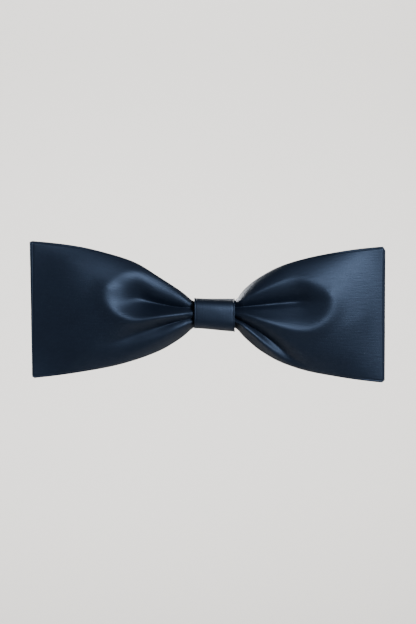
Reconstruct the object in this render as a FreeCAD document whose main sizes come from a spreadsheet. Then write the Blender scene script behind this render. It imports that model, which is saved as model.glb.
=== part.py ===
"""Hair bow: a padded satin bow, pinched at its waist by a knot band, on a sprung metal barrette.

Units are millimetres and degrees. X runs along the bow, +Y points to the back, where the clasp
is, and +Z is up. The origin is the middle of the clasp's grip, between tension bar and arm.
"""
import FreeCAD
import Part
import Sketcher
import math
import os
from FreeCAD import Vector

SIZES = [
    # the satin bow
    ("left_reach", 114, "knot's middle to the bow's left end"),
    ("right_reach", 106, "knot's middle to the bow's right end"),
    ("end_height", 85, "height of the bow at its ends"),
    ("end_loft", 0.4, "room between front and back plies at the ends"),
    ("waist_size", 14, "diameter of the gathered waist"),
    ("flare", 3, "how soon the loops reach their full height"),
    ("puff", 6.5, "how far the padding swells each loop, front and back"),
    ("left_lift", 3, "how far the left end stands above the right"),
    ("satin_thick", 0.6, "satin panel, with its seam allowance"),
    ("interfacing_thick", 0.4, "stiffening ply under each panel"),
    ("ply_gap", 0.05, "room between two plies"),
    ("batting_end", 0.96, "where the batting stops, as a share of the loop"),
    # the knot
    ("band_width", 25, "knot band along the bow"),
    ("band_thick", 1.2, "folded satin of the knot band"),
    ("band_corner", 5, "rounding of the knot band"),
    ("band_lap", 6, "overlap of the band's ends at the back"),
    ("lining_thick", 0.5, "stiff lining wound round the waist"),
    ("thread_size", 0.6, "gathering thread"),
    ("thread_pitch", 1.3, "from one turn to the next"),
    ("fit_gap", 0.1, "room between nested parts of the knot"),
    ("stitch_size", 0.45, "sewing thread of the stitches"),
    ("stitch_length", 2.2, "one stitch of the band's lap"),
    ("stitch_gap", 0.05, "room between a stitch and the steel"),
    # the backing and the barrette's plate
    ("felt_thick", 1, "felt between bow and plate"),
    ("tack_gap", 0.3, "room between the loops' backs and the felt"),
    ("felt_width", 12, "height of the felt"),
    ("felt_reach", 29, "middle to the felt's end"),
    ("plate_thick", 0.8, "steel of the plate"),
    ("plate_width", 10, "height of the plate"),
    ("plate_rise", 7.6, "how far the plate's middle stands in front of its tabs"),
    ("tab_start", 33, "middle to where the level tabs begin"),
    ("hinge_tab_end", 40.5, "middle to the end of the hinge's tab"),
    ("catch_tab_end", 42, "middle to the end of the catch's tab"),
    ("sew_hole", 2.6, "diameter of the sewing holes"),
    ("sew_reach", 24, "middle to a sewing hole"),
    # the tension bar
    ("bar_thick", 0.4, "spring leaf"),
    ("bar_width", 4.5, "height of the leaf"),
    ("bar_rise", 4.2, "room between plate and leaf at the middle"),
    ("bar_reach", 34.6, "middle to the leaf's end"),
    ("seat_gap", 0.05, "room between the leaf's end and its tab"),
    ("keeper_wall", 0.6, "wall of the loop that keeps the leaf's end"),
    ("keeper_length", 1, "keeper along the plate"),
    # the arm and its hinge
    ("grip_gap", 6, "room between leaf and closed arm"),
    ("arm_thick", 0.8, "steel of the arm"),
    ("arm_width", 5.5, "height of the arm"),
    ("arm_bow", 1.5, "how far the arm's ends stand behind its middle"),
    ("hinge_reach", 38, "middle to the hinge pin"),
    ("pin_size", 1.6, "hinge pin"),
    ("pin_play", 0.05, "radial play of the arm on its pin"),
    ("knuckle_wall", 0.8, "rolled steel round the pin"),
    ("ear_thick", 0.8, "each ear of the hinge"),
    ("ear_play", 0.2, "room between knuckle and ear"),
    ("pin_head", 0.5, "thickness of the pin's head"),
    ("head_width", 9, "height of the arm's head"),
    ("head_gap", 0.5, "room under the arm's head for the pressed legs"),
    ("head_start", 33.5, "middle to the start of the arm's head"),
    ("head_end", 43, "middle to the end of the arm's head"),
    ("tip_length", 3.5, "finger lip past the head"),
    ("window_length", 5.2, "window in the arm's head, along the arm"),
    ("window_height", 5, "window in the arm's head, across it"),
    # the catch
    ("catch_reach", 38, "middle to the catch"),
    ("saddle_thick", 0.5, "steel of the catch's saddle"),
    ("saddle_length", 5.4, "saddle along the plate"),
    ("leg_width", 4, "leg of the catch, along the plate"),
    ("leg_thick", 0.45, "spring steel of a leg"),
    ("leg_root", 2, "middle to the leg's root"),
    ("leg_gap", 0.1, "room round the leg's root"),
    ("leg_bend", 3.6, "middle to the centre of the finger bend"),
    ("barb_lift", 0.25, "room between the closed arm and the barb's step"),
    ("barb_play", 0.05, "room between a barb and the window"),
    ("barb_step", 0.35, "how far a barb stands out of its leg"),
    ("barb_length", 1.2, "length of the barb's ramp"),
    ("rivet_size", 2, "rivet of the catch"),
    ("rivet_head", 3.2, "diameter of its heads"),
    ("rivet_head_thick", 0.45, "thickness of its heads"),
]

# Distances from the waist's edge to the loft sections, as shares of a loop.
STATIONS = (0, 0.04, 0.1, 0.19, 0.3, 0.44, 0.6, 0.8, 1)

# Turns of the gathering thread, and how often the lap's thread crosses the lap's edge.
THREAD_TURNS = 12
STITCH_COUNT = 13

# Levels along Y, from the grip's middle towards the front.
BAR_BACK = "(-Sizes.grip_gap / 2)"
BAR_FRONT = f"({BAR_BACK} - Sizes.bar_thick)"
PLATE_BACK = f"({BAR_FRONT} - Sizes.bar_rise)"
PLATE_FRONT = f"({PLATE_BACK} - Sizes.plate_thick)"
FELT_FRONT = f"({PLATE_FRONT} - Sizes.felt_thick)"
TAB_BACK = f"({PLATE_BACK} + Sizes.plate_rise)"
TAB_FRONT = f"({TAB_BACK} - Sizes.plate_thick)"
ARM_FRONT = "(Sizes.grip_gap / 2)"
ARM_BACK = f"({ARM_FRONT} + Sizes.arm_thick)"

# The knot's nested rings, as radii about the waist's centre line.
WAIST_EDGE = "(Sizes.band_width / 2)"
THREAD_OUTSIDE = "(Sizes.waist_size / 2 + Sizes.thread_size)"
LINING_INSIDE = f"({THREAD_OUTSIDE} + Sizes.fit_gap)"
LINING_OUTSIDE = f"({LINING_INSIDE} + Sizes.lining_thick)"
BAND_INSIDE = f"({LINING_OUTSIDE} + Sizes.fit_gap)"
BAND_OUTSIDE = f"({BAND_INSIDE} + Sizes.band_thick)"
COVER = "(Sizes.satin_thick + Sizes.interfacing_thick + 2 * Sizes.ply_gap)"
BOW_LEVEL = f"({FELT_FRONT} - Sizes.fit_gap - {LINING_OUTSIDE})"

# The arcs of the plate, the leaf and the arm pass through their middles and ends.
PLATE_RADIUS = "((Sizes.tab_start ^ 2 + Sizes.plate_rise ^ 2) / (2 * Sizes.plate_rise))"
PLATE_CENTRE = f"({PLATE_BACK} + {PLATE_RADIUS})"
FELT_RADIUS = f"({PLATE_RADIUS} + Sizes.plate_thick + Sizes.felt_thick)"
BAR_SAG = f"({TAB_BACK} + Sizes.seat_gap + Sizes.bar_thick - {BAR_BACK})"
BAR_SEAT = "(Sizes.tab_start - Sizes.plate_thick)"
BAR_RADIUS = f"(({BAR_SEAT} ^ 2 + {BAR_SAG} ^ 2) / (2 * {BAR_SAG}))"
BAR_CENTRE = f"({BAR_BACK} + {BAR_RADIUS})"
ARM_RADIUS = "((Sizes.hinge_reach ^ 2 + Sizes.arm_bow ^ 2) / (2 * Sizes.arm_bow))"
ARM_CENTRE = f"({ARM_FRONT} + {ARM_RADIUS})"

KNUCKLE_RADIUS = "(Sizes.pin_size / 2 + Sizes.pin_play + Sizes.knuckle_wall)"
HINGE_LEVEL = f"({ARM_BACK} + Sizes.arm_bow - {KNUCKLE_RADIUS})"
EAR_INSIDE = "(Sizes.arm_width / 2 + Sizes.ear_play)"
SADDLE_BACK = f"({TAB_BACK} + Sizes.saddle_thick)"
PLATE_AT_TACK = f"({PLATE_CENTRE} - sqrt({PLATE_RADIUS} ^ 2 - Sizes.sew_reach ^ 2))"
PLATE_AT_BAND = f"({PLATE_CENTRE} - sqrt({PLATE_RADIUS} ^ 2 - {WAIST_EDGE} ^ 2))"
BAND_BACK_INSIDE = f"({PLATE_AT_BAND} + Sizes.fit_gap)"
BAND_BACK = f"({BAND_BACK_INSIDE} + Sizes.band_thick)"

doc = FreeCAD.newDocument("HairBow")
sheet = doc.addObject("Spreadsheet::Sheet", "Sizes")
pieces = []


def fill_sheet():
    for row, (name, size, meaning) in enumerate(SIZES, start=1):
        sheet.set(f"A{row}", name)
        sheet.set(f"B{row}", str(size))
        sheet.set(f"C{row}", meaning)
        sheet.setAlias(f"B{row}", name)
    doc.recompute()


def value(expression):
    """The number that an expression on the sheet has now."""
    return float(sheet.evalExpression(str(expression)))


def bind(thing, target, expression):
    thing.setExpression(target, str(expression))


def new_body(name):
    body = doc.addObject("PartDesign::Body", name)
    body.Label = name
    pieces.append(body)
    return body


def new_sketch(body, plane, name, across="0", up="0", out="0"):
    """A sketch on one of the body's origin planes, its origin moved by three expressions."""
    sketch = body.newObject("Sketcher::SketchObject", name)
    feature = [f for f in body.Origin.OriginFeatures if f.Role == plane][0]
    sketch.AttachmentSupport = [(feature, "")]
    sketch.MapMode = "FlatFace"
    for axis, expression in (("x", across), ("y", up), ("z", out)):
        if expression != "0":
            bind(sketch, f"AttachmentOffset.Base.{axis}", expression)
    return sketch


def hold_coordinate(sketch, kind, geometry, point, expression):
    """Ties one coordinate of a point to an expression, measured from the sketch's origin."""
    size = value(expression)
    if abs(size) < 1e-9:
        axis = -2 if kind == "DistanceX" else -1
        sketch.addConstraint(Sketcher.Constraint("PointOnObject", geometry, point, axis))
        return
    if size > 0:
        ends = (-1, 1, geometry, point)
        tied = expression
    else:
        ends = (geometry, point, -1, 1)
        tied = f"-({expression})"
    index = sketch.addConstraint(Sketcher.Constraint(kind, *ends, abs(size)))
    label = f"size{index}"
    sketch.renameConstraint(index, label)
    bind(sketch, f"Constraints.{label}", tied)


def outline(sketch, corners):
    """A closed outline. Each corner is (x, y), or (x, y, centre_x, centre_y, turn) where an arc
    leaves it, turn being +1 for anticlockwise. Everything but turn is an expression."""
    spots = [Vector(value(c[0]), value(c[1]), 0) for c in corners]
    edges = []
    for number, corner in enumerate(corners):
        start = spots[number]
        end = spots[(number + 1) % len(corners)]
        if len(corner) == 2:
            edges.append((sketch.addGeometry(Part.LineSegment(start, end)), 1, 2))
            continue
        centre = Vector(value(corner[2]), value(corner[3]), 0)
        turn = corner[4]
        circle = Part.Circle(centre, Vector(0, 0, 1), (start - centre).Length)
        angles = [math.atan2((p - centre).y, (p - centre).x) for p in (start, end)]
        first, last = angles if turn > 0 else reversed(angles)
        arc = sketch.addGeometry(Part.ArcOfCircle(circle, first, last))
        edges.append((arc, 1, 2) if turn > 0 else (arc, 2, 1))
    for number, (edge, start_point, end_point) in enumerate(edges):
        following, following_start, _ = edges[(number + 1) % len(edges)]
        joint = Sketcher.Constraint("Coincident", edge, end_point, following, following_start)
        sketch.addConstraint(joint)
    for corner, (edge, start_point, _), number in zip(corners, edges, range(len(edges))):
        hold_coordinate(sketch, "DistanceX", edge, start_point, corner[0])
        hold_coordinate(sketch, "DistanceY", edge, start_point, corner[1])
        if len(corner) > 2:
            chord = spots[(number + 1) % len(spots)] - spots[number]
            if abs(chord.x) > abs(chord.y):
                hold_coordinate(sketch, "DistanceY", edge, 3, corner[3])
            else:
                hold_coordinate(sketch, "DistanceX", edge, 3, corner[2])


def rectangle(sketch, low_x, low_y, high_x, high_y):
    outline(sketch, [(low_x, low_y), (high_x, low_y), (high_x, high_y), (low_x, high_y)])


def rounded_rectangle(sketch, low_x, low_y, high_x, high_y, radius):
    left, right = f"({low_x} + {radius})", f"({high_x} - {radius})"
    low, high = f"({low_y} + {radius})", f"({high_y} - {radius})"
    outline(sketch, [
        (left, low_y), (right, low_y, right, low, 1),
        (high_x, low), (high_x, high, right, high, 1),
        (right, high_y), (left, high_y, left, high, 1),
        (low_x, high), (low_x, low, left, low, 1),
    ])


def circle(sketch, x, y, radius):
    geometry = sketch.addGeometry(Part.Circle(Vector(value(x), value(y), 0),
                                              Vector(0, 0, 1), value(radius)))
    hold_coordinate(sketch, "DistanceX", geometry, 3, x)
    hold_coordinate(sketch, "DistanceY", geometry, 3, y)
    index = sketch.addConstraint(Sketcher.Constraint("Radius", geometry, value(radius)))
    sketch.renameConstraint(index, f"radius{index}")
    bind(sketch, f"Constraints.radius{index}", radius)


def pad(body, sketch, length, name, symmetric=True):
    feature = body.newObject("PartDesign::Pad", name)
    feature.Profile = sketch
    feature.SideType = "Symmetric" if symmetric else "One side"
    bind(feature, "Length", length)
    doc.recompute()
    return feature


def pocket_through(body, sketch, name):
    """Cuts the sketch right through, both ways, and makes sure that it cut something."""
    before = body.Shape.Volume
    feature = body.newObject("PartDesign::Pocket", name)
    feature.Profile = sketch
    feature.Type = "ThroughAll"
    feature.SideType = "Symmetric"
    doc.recompute()
    if not body.Shape.Volume < before - 1e-6:
        raise RuntimeError(f"{name} cut nothing")
    return feature


# ------------------------------------------------------------------ the satin bow

def half_height(share):
    """Half the bow's height at a share of the loop, flaring from the waist to the end."""
    grown = f"(1 - exp(-Sizes.flare * {share})) / (1 - exp(-Sizes.flare))"
    return f"(Sizes.waist_size / 2 + (Sizes.end_height - Sizes.waist_size) / 2 * {grown})"


def half_depth(side, share, facing):
    """Half the bow's thickness at a share of the loop: swollen by the knot, thin at the end. The
    back is pressed against the felt, as far as the felt reaches."""
    waist = "(Sizes.waist_size / 2)"
    end = f"({COVER} + Sizes.end_loft / 2)"
    swell = f"(Sizes.puff * 2.6 * sqrt({share}) * (1 - {share}))"
    depth = f"({waist} + ({end} - {waist}) * {share} + {swell})"
    if facing < 0:
        return depth
    along = f"abs({section_place(side, share)[0]})"
    felt = f"({PLATE_CENTRE} - sqrt({FELT_RADIUS} ^ 2 - min({along}; Sizes.felt_reach) ^ 2))"
    return f"min({depth}; {felt} - {BOW_LEVEL} - Sizes.tack_gap)"


def section_place(side, share):
    """Where a section stands along the bow, and how far it is lifted."""
    reach = "Sizes.left_reach" if side < 0 else "Sizes.right_reach"
    along = f"({WAIST_EDGE} + ({reach} - {WAIST_EDGE}) * {share})"
    lift = f"(Sizes.left_lift * {share})" if side < 0 else "0"
    return (f"(-{along})" if side < 0 else along), lift


def bulge(half_high, half_deep, facing):
    """Centre of the arc that stands half_deep out of a chord of twice half_high."""
    return f"({-facing} * ({half_high} ^ 2 - {half_deep} ^ 2) / (2 * {half_deep}))"


def ply_section(body, side, share, facing, outside, inside, name):
    """A crescent: one ply of the front (facing -1) or back (+1), between two depths of the bow."""
    along, lift = section_place(side, share)
    sketch = new_sketch(body, "YZ_Plane", name, across=BOW_LEVEL, up=lift, out=along)
    high, deep = half_height(share), half_depth(side, share, facing)
    outer_high, outer_deep = f"({high} - {outside})", f"({deep} - {outside})"
    inner_high, inner_deep = f"({high} - {inside})", f"({deep} - {inside})"
    outline(sketch, [
        ("0", outer_high, bulge(outer_high, outer_deep, facing), "0", -facing),
        ("0", f"(-{outer_high})"),
        ("0", f"(-{inner_high})", bulge(inner_high, inner_deep, facing), "0", facing),
        ("0", inner_high),
    ])
    return sketch


def on_ply(measure, share):
    """A measure of the bow where the plies run straight between their last two sections."""
    if share in STATIONS:
        return measure(share)
    before, after = STATIONS[-2:]
    part = f"(({share} - {before}) / {after - before})"
    return f"({measure(before)} + ({measure(after)} - {measure(before)}) * {part})"


def loft(body, sections, name):
    feature = body.newObject("PartDesign::AdditiveLoft", name)
    feature.Profile = sections[0]
    feature.Sections = sections[1:]
    feature.Ruled = True
    doc.recompute()
    return feature


def make_ply(name, facing, outside, inside):
    """One ply from end to end of the bow, through the waist."""
    body = new_body(name)
    places = [(-1, share) for share in reversed(STATIONS)] + [(1, share) for share in STATIONS]
    sections = [ply_section(body, side, share, facing, outside, inside, f"{name}_{number}")
                for number, (side, share) in enumerate(places)]
    loft(body, sections, f"{name}_loft")


def make_batting(name, side):
    """The padding of one loop, which also fills its half of the waist."""
    body = new_body(name)
    sections = []
    for number, share in enumerate((0,) + STATIONS[:-1] + ("Sizes.batting_end",)):
        along, lift = section_place(side, share)
        if number == 0:
            along = f"({side} * Sizes.ply_gap)"
        sketch = new_sketch(body, "YZ_Plane", f"{name}_{number}",
                            across=BOW_LEVEL, up=lift, out=along)
        high = f"({on_ply(half_height, share)} - {COVER})"
        front = f"({on_ply(lambda at: half_depth(side, at, -1), share)} - {COVER})"
        back = f"({on_ply(lambda at: half_depth(side, at, 1), share)} - {COVER})"
        outline(sketch, [
            ("0", high, bulge(high, front, -1), "0", 1),
            ("0", f"(-{high})", bulge(high, back, 1), "0", 1),
        ])
        sections.append(sketch)
    loft(body, sections, f"{name}_loft")


# ------------------------------------------------------------------ the knot

def make_gathering_thread():
    """The thread wound round the waist, turn beside turn."""
    turns = []
    for number in range(THREAD_TURNS):
        turn = doc.addObject("Part::Torus", f"thread_turn_{number}")
        bind(turn, "Radius1", "Sizes.waist_size / 2 + Sizes.thread_size / 2")
        bind(turn, "Radius2", "Sizes.thread_size / 2")
        turn.Placement.Rotation = FreeCAD.Rotation(Vector(0, 1, 0), 90)
        bind(turn, "Placement.Base.x", f"Sizes.thread_pitch * {number - (THREAD_TURNS - 1) / 2}")
        bind(turn, "Placement.Base.y", BOW_LEVEL)
        turns.append(turn)
    winding = doc.addObject("Part::Compound", "gathering_thread")
    winding.Label = "gathering_thread"
    winding.Links = turns
    pieces.append(winding)


def make_knot_lining():
    body = new_body("knot_lining")
    sketch = new_sketch(body, "YZ_Plane", "lining_ring", across=BOW_LEVEL)
    circle(sketch, "0", "0", LINING_OUTSIDE)
    circle(sketch, "0", "0", LINING_INSIDE)
    pad(body, sketch, "Sizes.band_width - 2 * Sizes.fit_gap", "lining_pad")


def make_knot_band():
    """The satin band round waist, felt and plate, its ends lapped at the back."""
    body = new_body("knot_band")
    sketch = new_sketch(body, "YZ_Plane", "band_ring")
    front = f"({BOW_LEVEL} - {BAND_OUTSIDE})"
    rounded_rectangle(sketch, front, f"(-{BAND_OUTSIDE})", BAND_BACK, BAND_OUTSIDE,
                      "Sizes.band_corner")
    front_inside = f"({BOW_LEVEL} - {BAND_INSIDE})"
    rounded_rectangle(sketch, front_inside, f"(-{BAND_INSIDE})", BAND_BACK_INSIDE, BAND_INSIDE,
                      "(Sizes.band_corner - Sizes.band_thick)")
    pad(body, sketch, "Sizes.band_width", "band_pad")
    lap = new_sketch(body, "YZ_Plane", "band_lap")
    rectangle(lap, f"({BAND_BACK} - Sizes.band_thick / 2)", "(-Sizes.band_lap / 2)",
              f"({BAND_BACK} + Sizes.band_thick / 2)", "(Sizes.band_lap / 2)")
    pad(body, lap, "Sizes.band_width", "lap_pad")


def make_band_stitches():
    """One thread that zigzags over the lap's lower edge, half sunk into the satin."""
    body = new_body("band_stitches")
    sketch = new_sketch(body, "XZ_Plane", "zigzag", out=f"(-({BAND_BACK} + Sizes.band_thick / 3))")
    span = "(Sizes.band_width - 2 * Sizes.stitch_length)"
    lower, upper = [], []
    for number in range(STITCH_COUNT + 1):
        along = f"(-{span} / 2 + {span} * {number} / {STITCH_COUNT})"
        side = 1 if number % 2 else -1
        level = f"(-Sizes.band_lap / 2 + {side} * Sizes.stitch_length / 2)"
        lower.append((along, f"({level} - Sizes.stitch_size)"))
        upper.append((along, f"({level} + Sizes.stitch_size)"))
    outline(sketch, lower + upper[::-1])
    pad(body, sketch, "0.85 * Sizes.band_thick", "stitch_pad")


# ------------------------------------------------------------------ the backing and the plate

def arc_strip(body, name, centre, inner_radius, outer_radius, left, right):
    """A strip bent about a centre on the Y axis, cut off at two distances along X."""
    def at(x, radius):
        return f"({centre} - sqrt({radius} ^ 2 - ({x}) ^ 2))"

    sketch = new_sketch(body, "XY_Plane", name)
    outline(sketch, [
        (left, at(left, outer_radius), "0", centre, 1),
        (right, at(right, outer_radius)),
        (right, at(right, inner_radius), "0", centre, -1),
        (left, at(left, inner_radius)),
    ])
    return sketch


def make_felt_backing():
    body = new_body("felt_backing")
    back = f"({PLATE_RADIUS} + Sizes.plate_thick)"
    sketch = arc_strip(body, "felt_strip", PLATE_CENTRE, back, FELT_RADIUS,
                       "(-Sizes.felt_reach)", "Sizes.felt_reach")
    pad(body, sketch, "Sizes.felt_width", "felt_pad")


def make_base_plate():
    """The bowed plate with level tabs, the hinge's ears, two sewing holes and two keepers."""
    body = new_body("base_plate")
    front = f"({PLATE_RADIUS} + Sizes.plate_thick)"
    strip = arc_strip(body, "plate_strip", PLATE_CENTRE, PLATE_RADIUS, front,
                      "(-Sizes.tab_start)", "Sizes.tab_start")
    pad(body, strip, "Sizes.plate_width", "plate_pad")
    for name, side, end in (("hinge_tab", -1, "Sizes.hinge_tab_end"),
                            ("catch_tab", 1, "Sizes.catch_tab_end")):
        tab = new_sketch(body, "XY_Plane", name)
        near, far = f"({side} * (Sizes.tab_start - Sizes.plate_thick / 2))", f"({side} * {end})"
        low, high = (far, near) if side < 0 else (near, far)
        rectangle(tab, low, TAB_FRONT, high, TAB_BACK)
        pad(body, tab, "Sizes.plate_width", f"{name}_pad")
    for side in (-1, 1):
        ear = new_sketch(body, "XY_Plane", f"ear{side + 1}",
                         out=f"{side} * ({EAR_INSIDE} + Sizes.ear_thick / 2)")
        make_ear_outline(ear)
        pad(body, ear, "Sizes.ear_thick", f"ear_pad{side + 1}")
    pin_hole = new_sketch(body, "XY_Plane", "pin_hole")
    circle(pin_hole, "(-Sizes.hinge_reach)", HINGE_LEVEL, "Sizes.pin_size / 2")
    pocket_through(body, pin_hole, "pin_hole_cut")
    for side in (-1, 1):
        keeper = new_sketch(body, "YZ_Plane", f"keeper{side + 1}",
                            out=f"{side} * (Sizes.bar_reach - Sizes.keeper_length)")
        make_keeper_outline(keeper)
        pad(body, keeper, "Sizes.keeper_length", f"keeper_pad{side + 1}")
    holes = new_sketch(body, "XZ_Plane", "sewing_holes")
    for side in (-1, 1):
        circle(holes, f"({side} * Sizes.sew_reach)", "0", "Sizes.sew_hole / 2")
    pocket_through(body, holes, "sewing_hole_cut")
    rivet_hole = new_sketch(body, "XZ_Plane", "rivet_hole")
    circle(rivet_hole, "Sizes.catch_reach", "0", "Sizes.rivet_size / 2")
    pocket_through(body, rivet_hole, "rivet_hole_cut")


def make_ear_outline(sketch):
    """An ear stands on the hinge's tab and is rounded over the pin."""
    radius = f"({KNUCKLE_RADIUS})"
    left, right = f"(-Sizes.hinge_reach - {radius})", f"(-Sizes.hinge_reach + {radius})"
    foot = f"({TAB_BACK} - Sizes.plate_thick / 2)"
    outline(sketch, [
        (left, foot),
        (right, foot),
        (right, HINGE_LEVEL, "(-Sizes.hinge_reach)", HINGE_LEVEL, 1),
        (left, HINGE_LEVEL),
    ])


def make_keeper_outline(sketch):
    """A low bridge over the leaf's end, standing on the tab."""
    inside = "(Sizes.bar_width / 2 + Sizes.fit_gap)"
    outside = f"({inside} + Sizes.keeper_wall)"
    foot = f"({TAB_BACK} - Sizes.plate_thick / 2)"
    roof = f"({TAB_BACK} + Sizes.seat_gap + 2.5 * Sizes.bar_thick)"
    top = f"({roof} + Sizes.keeper_wall)"
    outline(sketch, [
        (foot, f"(-{outside})"), (top, f"(-{outside})"), (top, outside), (foot, outside),
        (foot, inside), (roof, inside), (roof, f"(-{inside})"), (foot, f"(-{inside})"),
    ])


def make_tacking(name, side):
    """Thread loops through a sewing hole, round the plate's edges and into the back panel."""
    body = new_body(name)
    body.Placement.Rotation = FreeCAD.Rotation(Vector(0, 0, 1), 10)
    bind(body, "Placement.Rotation.Angle", f"{side} * asin(Sizes.sew_reach / {PLATE_RADIUS})")
    bind(body, "Placement.Base.x", f"{side} * Sizes.sew_reach")
    bind(body, "Placement.Base.y", PLATE_AT_TACK)
    thread = "Sizes.stitch_size"
    back = "Sizes.stitch_gap"
    front = f"(-{tack_depth(side)})"
    edge = "(Sizes.plate_width / 2 + Sizes.stitch_gap)"
    for number, (way, step) in enumerate(((1, -1), (1, 1), (-1, -1), (-1, 1))):
        sketch = new_sketch(body, "YZ_Plane", f"{name}_{number}", out=f"{step} * 0.7 * {thread}")
        near, far = f"({way} * {thread} / 2)", f"({way} * {edge})"
        low, high = (near, far) if way > 0 else (far, near)
        rounded_rectangle(sketch, f"({front} - {thread})", f"({low} - {thread})",
                          f"({back} + {thread})", f"({high} + {thread})", thread)
        rectangle(sketch, front, low, back, high)
        pad(body, sketch, thread, f"{name}_thread{number}")
    knot = new_sketch(body, "YZ_Plane", f"{name}_knot")
    rectangle(knot, back, f"(-{thread})", f"({back} + 1.2 * {thread})", thread)
    pad(body, knot, f"2.4 * {thread}", f"{name}_knot_pad")


def tack_depth(side):
    """From the plate's back face to the middle of the back panel, square to the plate."""
    before, after = STATIONS[2], STATIONS[3]
    places = [f"abs({section_place(side, share)[0]})" for share in (before, after)]
    depths = [half_depth(side, share, 1) for share in (before, after)]
    slope = f"(({depths[1]} - {depths[0]}) / ({places[1]} - {places[0]}))"
    panel = f"({BOW_LEVEL} + {depths[0]} + {slope} * (Sizes.sew_reach - {places[0]}))"
    tilt = f"asin(Sizes.sew_reach / {PLATE_RADIUS})"
    straight = f"({PLATE_AT_TACK} - {panel} + Sizes.satin_thick / 2 - Sizes.stitch_size / 2)"
    return f"({straight} / (cos({tilt}) + {slope} * sin({tilt})))"


def make_tension_bar():
    body = new_body("tension_bar")
    outer = f"({BAR_RADIUS} + Sizes.bar_thick)"
    sketch = arc_strip(body, "leaf_strip", BAR_CENTRE, BAR_RADIUS, outer,
                       "(-Sizes.bar_reach)", "Sizes.bar_reach")
    pad(body, sketch, "Sizes.bar_width", "leaf_pad")


# ------------------------------------------------------------------ the arm, its hinge, the catch

def make_clasp_arm():
    """The arm: a bowed strip with a rolled knuckle, a wide head with a window, and a finger lip."""
    body = new_body("clasp_arm")
    inner = f"({ARM_RADIUS} - Sizes.arm_thick)"
    strip = arc_strip(body, "arm_strip", ARM_CENTRE, inner, ARM_RADIUS,
                      "(-Sizes.hinge_reach)", "Sizes.head_end")
    pad(body, strip, "Sizes.arm_width", "arm_pad")
    head = arc_strip(body, "arm_head", ARM_CENTRE, inner, ARM_RADIUS,
                     "Sizes.head_start", "Sizes.head_end")
    pad(body, head, "Sizes.head_width", "head_pad")
    lip_foot = f"({ARM_CENTRE} - sqrt({ARM_RADIUS} ^ 2 - Sizes.head_end ^ 2))"
    lip = new_sketch(body, "XY_Plane", "finger_lip")
    start = "(Sizes.head_end - Sizes.arm_thick / 2)"
    end = "(Sizes.head_end + Sizes.tip_length)"
    outline(lip, [
        (start, lip_foot), (end, f"({lip_foot} + Sizes.arm_thick)"),
        (end, f"({lip_foot} + 2 * Sizes.arm_thick)"), (start, f"({lip_foot} + Sizes.arm_thick)"),
    ])
    pad(body, lip, "Sizes.arm_width", "lip_pad")
    knuckle = new_sketch(body, "XY_Plane", "knuckle")
    circle(knuckle, "(-Sizes.hinge_reach)", HINGE_LEVEL, KNUCKLE_RADIUS)
    pad(body, knuckle, "Sizes.arm_width", "knuckle_pad")
    bore = new_sketch(body, "XY_Plane", "knuckle_bore")
    circle(bore, "(-Sizes.hinge_reach)", HINGE_LEVEL, "Sizes.pin_size / 2 + Sizes.pin_play")
    pocket_through(body, bore, "knuckle_bore_cut")
    window = new_sketch(body, "XZ_Plane", "window")
    rectangle(window, "(Sizes.catch_reach - Sizes.window_length / 2)",
              "(-Sizes.window_height / 2)",
              "(Sizes.catch_reach + Sizes.window_length / 2)", "(Sizes.window_height / 2)")
    pocket_through(body, window, "window_cut")


def revolve_pin(name, radius, head_radius, ends, head, plane, across, out):
    """A headed pin about the sketch's Y axis. ends are its two shoulders, and head a thickness."""
    body = new_body(name)
    sketch = new_sketch(body, plane, f"{name}_half", across=across, out=out)
    low, high = ends
    outline(sketch, [
        ("0", f"({low} - {head})"), (head_radius, f"({low} - {head})"), (head_radius, low),
        (radius, low), (radius, high), (head_radius, high),
        (head_radius, f"({high} + {head})"), ("0", f"({high} + {head})"),
    ])
    feature = body.newObject("PartDesign::Revolution", f"{name}_turned")
    feature.Profile = sketch
    feature.ReferenceAxis = (sketch, ["V_Axis"])
    feature.Angle = 360
    doc.recompute()


def make_hinge_pin():
    outside = f"({EAR_INSIDE} + Sizes.ear_thick)"
    revolve_pin("hinge_pin", "(Sizes.pin_size / 2)", "(Sizes.pin_size / 2 + Sizes.pin_head)",
                (f"(-{outside})", outside), "Sizes.pin_head",
                "XZ_Plane", "-Sizes.hinge_reach", f"(-{HINGE_LEVEL})")


def make_catch_saddle():
    body = new_body("catch_saddle")
    sketch = new_sketch(body, "XY_Plane", "saddle")
    rectangle(sketch, "(Sizes.catch_reach - Sizes.saddle_length / 2)", TAB_BACK,
              "(Sizes.catch_reach + Sizes.saddle_length / 2)", SADDLE_BACK)
    pad(body, sketch, "2 * (Sizes.leg_root - Sizes.leg_gap)", "saddle_pad")
    hole = new_sketch(body, "XZ_Plane", "saddle_hole")
    circle(hole, "Sizes.catch_reach", "0", "Sizes.rivet_size / 2")
    pocket_through(body, hole, "saddle_hole_cut")


def make_catch_rivet():
    revolve_pin("catch_rivet", "(Sizes.rivet_size / 2)", "(Sizes.rivet_head / 2)",
                (TAB_FRONT, SADDLE_BACK), "Sizes.rivet_head_thick",
                "XY_Plane", "Sizes.catch_reach", "0")


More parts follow.
